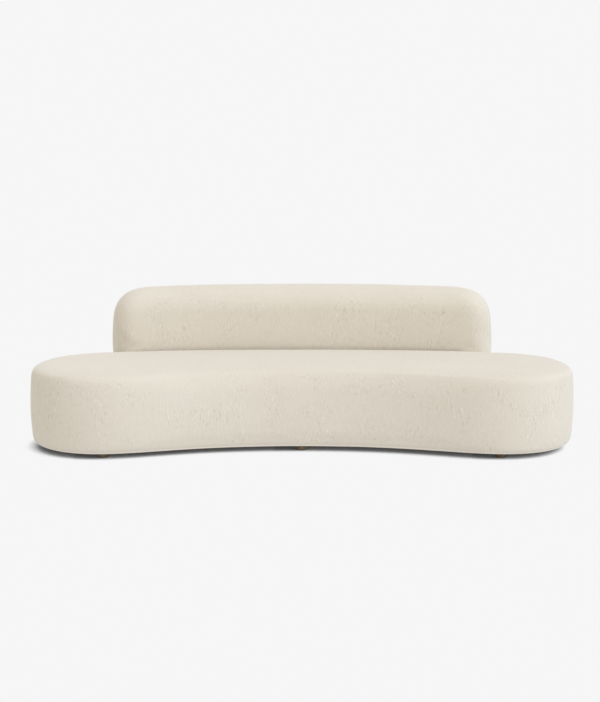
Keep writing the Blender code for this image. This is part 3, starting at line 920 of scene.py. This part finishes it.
def boucle():
    """Ivory boucle: nubby loops, and slub yarns that run down the sides and back over the top.

    Light and dark neps stand in clusters, fewer on the top, and a painted highlight makes the cover's
    lowest band, along the hem, a little lighter.
    """
    look = Look("ivory_boucle")
    wobble = look.add("ShaderNodeTexNoise", Vector=look.place, Scale=260.0, Detail=2.0)
    drift = look.add("ShaderNodeVectorMath")
    drift.operation = "SCALE"
    look.put(drift.inputs[0], wobble.outputs["Color"])
    look.put(drift.inputs["Scale"], 0.0028)
    moved = look.add("ShaderNodeVectorMath")
    moved.operation = "ADD"
    look.put(moved.inputs[0], look.place)
    look.put(moved.inputs[1], drift.outputs[0])
    loops = look.cells(moved.outputs[0], 310.0, "SMOOTH_F1")
    loop_height = look.maths("SUBTRACT", 1.0, loops.outputs["Distance"])
    facing = look.add("ShaderNodeSeparateXYZ")
    look.put(facing.inputs[0], look.add("ShaderNodeNewGeometry").outputs["Normal"])
    upness = look.maths("ABSOLUTE", facing.outputs["Z"])
    upness = look.maths("POWER", upness, 3.0)
    slub_side = look.noise(look.stretched((120.0, 120.0, 20.0)), 1.0, 2.0, 0.55)
    slub_top = look.noise(look.stretched((120.0, 20.0, 120.0)), 1.0, 2.0, 0.55)
    slub = look.blend(upness, slub_side, slub_top)
    yarn_side = look.noise(look.stretched((420.0, 420.0, 60.0)), 1.0, 1.0)
    yarn_top = look.noise(look.stretched((420.0, 60.0, 420.0)), 1.0, 1.0)
    yarn = look.blend(upness, yarn_side, yarn_top)
    fleck = look.noise(look.place, 85.0, 3.0, 0.7)
    patch = look.noise(look.place, 2.6, 2.0)
    cluster = look.ramp(look.noise(look.place, 7.5, 2.0), (0.45, grey(0.12)), (0.60, grey(1.0)))
    flatness = look.maths("SUBTRACT", 1.0, look.maths("MULTIPLY", upness, 0.6))
    cluster = look.maths("MULTIPLY", cluster, flatness)
    nep_side = look.noise(look.stretched((185.0, 185.0, 42.0)), 1.0, 1.0)
    nep_top = look.noise(look.stretched((185.0, 42.0, 185.0)), 1.0, 1.0)
    nep = look.blend(upness, nep_side, nep_top)
    light_nep = look.ramp(nep, (LIGHT_NEP[0], grey(0.0)), (LIGHT_NEP[1], grey(1.0)))
    light_nep = look.maths("MULTIPLY", light_nep, cluster)
    dark_nep = look.ramp(nep, (DARK_NEP[1], grey(1.0)), (DARK_NEP[0], grey(0.0)))
    dark_nep = look.maths("MULTIPLY", dark_nep, cluster)
    parts = (
        (1.0, 0.205),
        (slub, 0.15),
        (yarn, 0.17),
        (fleck, 0.15),
        (loop_height, 0.12),
        (light_nep, 0.28),
        (dark_nep, -0.28),
    )
    tone = look.weighted(parts)
    colour = look.ramp(
        tone,
        (0.26, (0.605, 0.545, 0.450)),
        (0.50, (0.698, 0.645, 0.556)),
        (0.74, (0.780, 0.732, 0.650)),
    )
    shade = look.ramp(patch, (0.30, (0.975, 0.970, 0.960)), (0.70, grey(1.0)))
    colour = look.colours(1.0, colour, shade, "MULTIPLY")
    # Painted highlight: the cover's lowest band, along the hem, is made lighter in colour.
    axes = look.add("ShaderNodeSeparateXYZ")
    look.put(axes.inputs[0], look.place)
    above_hem = look.maths("SUBTRACT", axes.outputs["Z"], COVER_LOW)
    above_hem = look.maths("DIVIDE", above_hem, HEM_PAINTED_HIGHLIGHT_HEIGHT)
    painted_hem_highlight = look.ramp(above_hem, (0.45, HEM_PAINTED_HIGHLIGHT), (1.0, grey(1.0)))
    colour = look.colours(1.0, colour, painted_hem_highlight, "MULTIPLY")
    look.put(look.shader.inputs["Base Color"], colour)
    relief = ((loop_height, 0.6), (yarn, 0.35), (slub, 0.35), (light_nep, 0.9), (dark_nep, -0.7))
    look.bump(look.weighted(relief), 0.55, 0.0016)
    look.set(Roughness=0.95, Sheen_Weight=0.35, Sheen_Roughness=0.4)
    look.shader.inputs["Specular IOR Level"].default_value = 0.12
    look.shader.inputs["Sheen Tint"].default_value = (1.0, 1.0, 1.0, 1.0)
    return look.material


def foot_wood():
    """Walnut-stained beech with its grain along the foot, under a satin lacquer."""
    look = Look("walnut_stain")
    rings = look.noise(look.stretched((190.0, 60.0, 30.0)), 1.0, 4.0, 0.6)
    pores = look.noise(look.stretched((900.0, 500.0, 90.0)), 1.0, 2.0, 0.6)
    grain = look.maths("ADD", look.maths("MULTIPLY", rings, 0.75), look.maths("MULTIPLY", pores, 0.25))
    colour = look.ramp(
        grain,
        (0.32, (0.062, 0.036, 0.018)),
        (0.50, (0.128, 0.082, 0.044)),
        (0.70, (0.215, 0.146, 0.085)),
    )
    look.put(look.shader.inputs["Base Color"], colour)
    look.put(look.shader.inputs["Roughness"], look.blend(pores, 0.34, 0.55))
    look.bump(pores, 0.25, 0.0003)
    look.shader.inputs["Coat Weight"].default_value = 0.25
    look.shader.inputs["Coat Roughness"].default_value = 0.3
    return look.material


def felt():
    look = Look("pressed_felt")
    fibres = look.noise(look.place, 900.0, 4.0, 0.7)
    tufts = look.noise(look.place, 260.0, 2.0)
    colour = look.ramp(fibres, (0.3, (0.075, 0.070, 0.064)), (0.7, (0.180, 0.170, 0.155)))
    look.put(look.shader.inputs["Base Color"], colour)
    look.bump(look.maths("ADD", fibres, tufts), 0.6, 0.0006)
    look.set(Roughness=1.0, Sheen_Weight=0.3)
    return look.material


def lining_cloth():
    """Black non-woven lining with its embossed dots."""
    look = Look("non_woven_lining")
    dots = look.cells(look.place, 420.0)
    fibres = look.noise(look.place, 700.0, 3.0, 0.6)
    dimple = look.maths("GREATER_THAN", dots.outputs["Distance"], 0.32)
    tone = look.maths("ADD", look.maths("MULTIPLY", fibres, 0.7), look.maths("MULTIPLY", dimple, 0.3))
    colour = look.ramp(tone, (0.25, (0.012, 0.012, 0.013)), (0.8, (0.048, 0.048, 0.050)))
    look.put(look.shader.inputs["Base Color"], colour)
    look.bump(tone, 0.5, 0.0004)
    look.set(Roughness=0.9, Sheen_Weight=0.1)
    return look.material


def zinc():
    look = Look("zinc_plate")
    spangle = look.cells(look.place, 600.0)
    scratches = look.noise(look.stretched((300.0, 300.0, 4000.0)), 1.0, 2.0)
    tone = look.maths("ADD", look.maths("MULTIPLY", spangle.outputs["Distance"], 0.4), scratches)
    colour = look.ramp(tone, (0.3, (0.50, 0.50, 0.49)), (0.9, (0.70, 0.70, 0.68)))
    look.put(look.shader.inputs["Base Color"], colour)
    look.put(look.shader.inputs["Roughness"], look.blend(scratches, 0.28, 0.48))
    look.set(Metallic=1.0)
    look.bump(scratches, 0.15, 0.0001)
    return look.material


def foam():
    look = Look("cut_foam")
    pores = look.cells(look.place, 900.0)
    large = look.noise(look.place, 14.0, 2.0)
    cut = look.maths("MULTIPLY", pores.outputs["Distance"], 0.6)
    tone = look.maths("ADD", cut, look.maths("MULTIPLY", large, 0.4))
    colour = look.ramp(tone, (0.2, (0.80, 0.70, 0.42)), (0.7, (0.90, 0.84, 0.60)))
    look.put(look.shader.inputs["Base Color"], colour)
    look.bump(pores.outputs["Distance"], 0.6, 0.0008)
    look.set(Roughness=0.95)
    return look.material


def plywood():
    """Birch plywood: face veneer with a soft figure, and dark and light plies where its edge shows."""
    look = Look("birch_plywood")
    figure = look.noise(look.stretched((3.0, 60.0, 60.0)), 1.0, 5.0, 0.6)
    flecks = look.noise(look.stretched((60.0, 900.0, 900.0)), 1.0, 2.0)
    height = look.add("ShaderNodeSeparateXYZ")
    look.put(height.inputs[0], look.place)
    plies = look.maths("PINGPONG", height.outputs["Z"], 0.0015)
    plies = look.maths("GREATER_THAN", plies, 0.00075)
    facing = look.add("ShaderNodeSeparateXYZ")
    look.put(facing.inputs[0], look.add("ShaderNodeNewGeometry").outputs["Normal"])
    is_edge = look.maths("LESS_THAN", look.maths("ABSOLUTE", facing.outputs["Z"]), 0.5)
    tone = look.maths("ADD", look.maths("MULTIPLY", figure, 0.8), look.maths("MULTIPLY", flecks, 0.2))
    face = look.ramp(tone, (0.3, (0.47, 0.32, 0.18)), (0.7, (0.68, 0.52, 0.34)))
    edge = look.colours(plies, (0.62, 0.46, 0.29, 1.0), (0.36, 0.23, 0.12, 1.0))
    look.put(look.shader.inputs["Base Color"], look.colours(is_edge, face, edge))
    look.bump(tone, 0.2, 0.0004)
    look.set(Roughness=0.7)
    return look.material


def pine():
    """Planed pine with growth rings that run along Y."""
    look = Look("planed_pine")
    bend = look.noise(look.stretched((5.0, 1.2, 5.0)), 1.0, 2.0)
    spread = look.stretched((1.0, 0.06, 1.0))
    waves = look.add("ShaderNodeTexWave", Vector=spread, Scale=55.0, Distortion=5.0, Detail=2.0)
    fibres = look.noise(look.stretched((700.0, 40.0, 700.0)), 1.0, 2.0)
    rings = look.maths("MULTIPLY", waves.outputs["Fac"], 0.5)
    tone = look.maths("ADD", rings, look.maths("MULTIPLY", bend, 0.3))
    tone = look.maths("ADD", tone, look.maths("MULTIPLY", fibres, 0.2))
    colour = look.ramp(tone, (0.25, (0.74, 0.56, 0.34)), (0.75, (0.56, 0.36, 0.18)))
    look.put(look.shader.inputs["Base Color"], colour)
    look.bump(fibres, 0.25, 0.0004)
    look.set(Roughness=0.7)
    return look.material


def webbing():
    """Black elastic webbing with a ribbed weave."""
    look = Look("elastic_webbing")
    axes = look.add("ShaderNodeSeparateXYZ")
    look.put(axes.inputs[0], look.place)
    warp = look.maths("SINE", look.maths("MULTIPLY", axes.outputs["X"], 2400.0))
    weft = look.maths("SINE", look.maths("MULTIPLY", axes.outputs["Y"], 3600.0))
    weave = look.maths("MULTIPLY_ADD", look.maths("MULTIPLY", warp, weft), 0.5)
    worn = look.noise(look.place, 40.0, 3.0)
    tone = look.maths("ADD", look.maths("MULTIPLY", weave, 0.5), look.maths("MULTIPLY", worn, 0.5))
    colour = look.ramp(tone, (0.2, (0.030, 0.030, 0.034)), (0.9, (0.120, 0.120, 0.130)))
    look.put(look.shader.inputs["Base Color"], colour)
    look.bump(weave, 0.5, 0.0004)
    look.set(Roughness=0.8)
    return look.material


def dress_frame_nodes(looks):
    """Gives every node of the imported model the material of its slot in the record."""
    for part in frame["record"]["subparts"]:
        node = frame["nodes"][part["node"]]
        for slot in node.material_slots:
            slot.material = looks[part["material_slot"]]


# ---------------------------------------------------------------- studio


def floor():
    """A pale floor that shines evenly, with a short contact shadow where something is close above it."""
    bm = bmesh.new()
    bmesh.ops.create_grid(bm, x_segments=2, y_segments=2, size=60)
    mesh = bpy.data.meshes.new("studio_floor")
    bm.to_mesh(mesh)
    bm.free()
    ground = bpy.data.objects.new("studio_floor", mesh)
    bpy.context.scene.collection.objects.link(ground)
    material = bpy.data.materials.new("studio_floor")
    material.use_nodes = True
    tree = material.node_tree
    tree.nodes.clear()
    contact = tree.nodes.new("ShaderNodeAmbientOcclusion")
    towards_key = tree.nodes.new("ShaderNodeCombineXYZ")
    for axis, value in zip("XYZ", Vector(CONTACT_LEAN).normalized()):
        towards_key.inputs[axis].default_value = value
    tree.links.new(towards_key.outputs["Vector"], contact.inputs["Normal"])
    contact.samples = 16
    contact.inputs["Distance"].default_value = CONTACT_REACH
    ramp = tree.nodes.new("ShaderNodeValToRGB")
    stops = zip(ramp.color_ramp.elements, CONTACT_RANGE, (CONTACT_DARK, grey(SURROUND)))
    for element, position, colour in stops:
        element.position = position
        element.color = (*colour, 1)
    glow = tree.nodes.new("ShaderNodeEmission")
    seen = tree.nodes.new("ShaderNodeLightPath")
    strength = tree.nodes.new("ShaderNodeMath")
    strength.operation = "MULTIPLY_ADD"
    strength.inputs[1].default_value = 1 - FLOOR_BOUNCE
    strength.inputs[2].default_value = FLOOR_BOUNCE
    tree.links.new(seen.outputs["Is Camera Ray"], strength.inputs[0])
    tree.links.new(strength.outputs["Value"], glow.inputs["Strength"])
    output = tree.nodes.new("ShaderNodeOutputMaterial")
    tree.links.new(contact.outputs["AO"], ramp.inputs["Fac"])
    tree.links.new(ramp.outputs["Color"], glow.inputs["Color"])
    tree.links.new(glow.outputs["Emission"], output.inputs["Surface"])
    mesh.materials.append(material)


def shading_range(tree, value, limits):
    """Rises smoothly from 0 at the first limit to 1 at the second."""
    rise = tree.nodes.new("ShaderNodeMapRange")
    rise.interpolation_type = "SMOOTHSTEP"
    rise.inputs["From Min"].default_value = limits[0]
    rise.inputs["From Max"].default_value = limits[1]
    tree.links.new(value, rise.inputs["Value"])
    return rise.outputs["Result"]


def studio():
    """Pale surroundings, warmer and dimmer on the left and brighter in front, and a wide soft key light.

    The levels fade out towards the horizon, where the surroundings meet the floor's tone.
    """
    scene = bpy.context.scene
    scene.view_settings.view_transform = "Standard"
    scene.view_settings.look = "None"
    world = bpy.data.worlds.new("studio")
    scene.world = world
    world.use_nodes = True
    tree = world.node_tree
    background = tree.nodes["Background"]
    axes = tree.nodes.new("ShaderNodeSeparateXYZ")
    tree.links.new(tree.nodes.new("ShaderNodeTexCoord").outputs["Generated"], axes.inputs[0])
    surround = tree.nodes.new("ShaderNodeRGB")
    surround.outputs["Color"].default_value = (*grey(SURROUND), 1)
    colour = surround.outputs["Color"]
    above_horizon = shading_range(tree, axes.outputs["Z"], HORIZON_RANGE)
    sides = (
        ("X", LEFT_LEVEL, LEFT_RANGE),
        ("Y", FRONT_LEVEL, FRONT_RANGE),
        ("Z", TOP_LEVEL, TOP_RANGE),
    )
    for axis, level, limits in sides:
        share = tree.nodes.new("ShaderNodeMath")
        share.operation = "MULTIPLY"
        tree.links.new(shading_range(tree, axes.outputs[axis], limits), share.inputs[0])
        tree.links.new(above_horizon, share.inputs[1])
        mix = tree.nodes.new("ShaderNodeMix")
        mix.data_type = "RGBA"
        mix.blend_type = "MULTIPLY"
        tree.links.new(share.outputs["Value"], mix.inputs["Factor"])
        tree.links.new(colour, mix.inputs[6])
        mix.inputs[7].default_value = (*level, 1)
        colour = mix.outputs[2]
    tree.links.new(colour, background.inputs["Color"])
    key = bpy.data.lights.new("key", "SUN")
    key.energy = KEY_STRENGTH
    key.angle = KEY_ANGLE
    key.color = KEY_COLOUR
    lamp = bpy.data.objects.new("key", key)
    lamp.rotation_euler = Vector(KEY_DIRECTION).to_track_quat("Z", "Y").to_euler()
    scene.collection.objects.link(lamp)


def camera():
    data = bpy.data.cameras.new("camera")
    data.lens = CAMERA_LENS
    data.clip_end = 200
    eye = bpy.data.objects.new("camera", data)
    eye.location = CAMERA_PLACE
    aim = Vector(CAMERA_TARGET) - Vector(CAMERA_PLACE)
    eye.rotation_euler = aim.to_track_quat("-Z", "Y").to_euler()
    bpy.context.scene.collection.objects.link(eye)
    bpy.context.scene.camera = eye


OUTLINE = whole_outline()
REAR = rear_table()
LOOKS = {
    "boucle": boucle(),
    "dust_cloth": lining_cloth(),
    "foam": foam(),
    "foot_wood": foot_wood(),
    "felt": felt(),
    "zinc_steel": zinc(),
    "webbing": webbing(),
    "softwood": pine(),
    "plywood": plywood(),
}

camera()
studio()
floor()
dress_frame_nodes(LOOKS)

seat = seat_upholstery()
side_foams = [side + "_side_foam" for side in ("front", "right", "rear", "left")]
finish_piece(seat, LOOKS["boucle"], ["seat_cover", "seat_foam", *side_foams])

back = back_upholstery()
finish_piece(back, LOOKS["boucle"], ["back_cover", "back_foam"])

feet(LOOKS["foot_wood"], LOOKS["felt"])
lining(LOOKS["dust_cloth"])
back_lining(LOOKS["dust_cloth"])
lining_staples(LOOKS["zinc_steel"])
